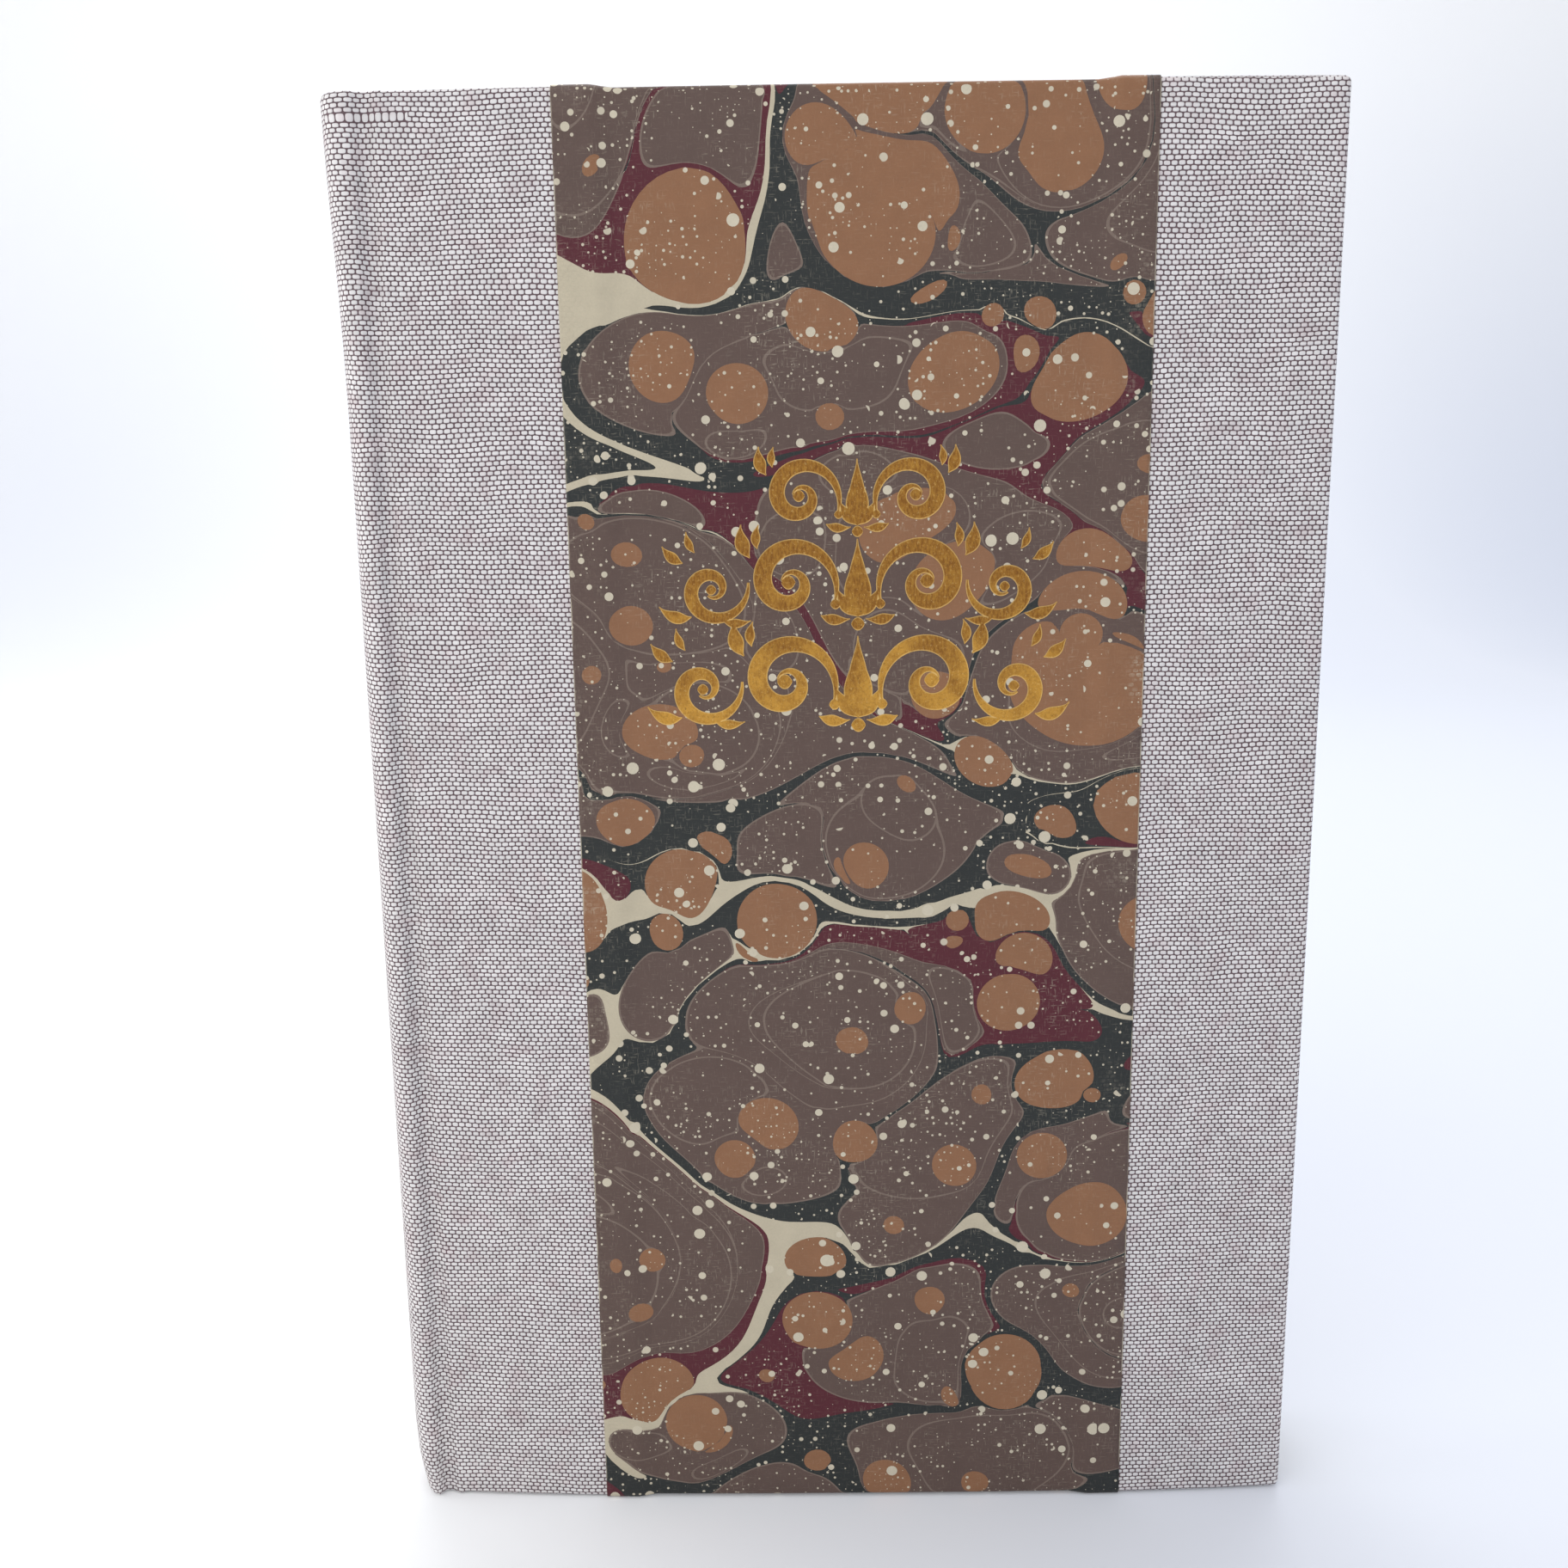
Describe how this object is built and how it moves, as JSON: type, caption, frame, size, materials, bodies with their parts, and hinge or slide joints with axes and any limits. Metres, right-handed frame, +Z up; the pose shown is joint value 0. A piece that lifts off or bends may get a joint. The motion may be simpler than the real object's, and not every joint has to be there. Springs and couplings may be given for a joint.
{
  "type": "hardback book",
  "caption": "Hand-bound hardback book in cloth and marbled paper, standing on its tail, with covers that open on cloth joints.",
  "frame": {"origin": "middle of the footprint, on the surface the book stands on", "axes": "+Z up from tail to head, -Y out of the front cover, -X towards the spine, +X towards the fore edge"},
  "size_m": [0.1456, 0.0278, 0.222],
  "materials": {
    "book_cloth": "plain-weave cloth of thick pale weft over thin plum-grey warp, matt",
    "marbled_paper": "stone-marbled paper in green-black, brown, tan, maroon and cream, satin",
    "grey_board": "dense grey bookbinding board, matt",
    "card": "thin infill card, matt",
    "book_pages": "cream pages seen on their cut edges, matt",
    "endpaper": "plain laid endpaper, matt",
    "kraft_paper": "brown kraft lining paper",
    "mull_gauze": "open starched cotton gauze",
    "linen_tape": "unbleached linen sewing tape",
    "silk_thread": "headband worked in maroon and cream thread",
    "gold_foil": "hot-stamped gold foil, slightly broken"
  },
  "bodies": {
    "text_block": {"text_block": "book_pages", "front_flyleaf": "endpaper", "back_flyleaf": "endpaper", "sewing_tape_1": "linen_tape", "sewing_tape_2": "linen_tape", "sewing_tape_3": "linen_tape", "mull": "mull_gauze", "spine_lining": "kraft_paper", "headband": "silk_thread", "tailband": "silk_thread", "spine_inlay": "grey_board", "spine_cloth": "book_cloth"},
    "front_cover": {"front_board": "grey_board", "front_spine_side_cloth": "book_cloth", "front_fore_edge_cloth": "book_cloth", "front_marbled_panel": "marbled_paper", "front_infill": "card", "front_mull_flap": "mull_gauze", "front_tape_slip_1": "linen_tape", "front_tape_slip_2": "linen_tape", "front_tape_slip_3": "linen_tape", "front_pastedown": "endpaper"},
    "back_cover": {"back_board": "grey_board", "back_spine_side_cloth": "book_cloth", "back_fore_edge_cloth": "book_cloth", "back_marbled_panel": "marbled_paper", "back_infill": "card", "back_mull_flap": "mull_gauze", "back_tape_slip_1": "linen_tape", "back_tape_slip_2": "linen_tape", "back_tape_slip_3": "linen_tape", "back_pastedown": "endpaper"}
  },
  "joints": [
    {"name": "front_cover_hinge", "type": "hinge", "parent": "text_block", "child": "front_cover", "pos_m": [-0.067, -0.01272, 0], "axis": [0, 0, -1], "range_deg": [0, 180]},
    {"name": "back_cover_hinge", "type": "hinge", "parent": "text_block", "child": "back_cover", "pos_m": [-0.067, 0.01272, 0], "axis": [0, 0, 1], "range_deg": [0, 180]}
  ]
}
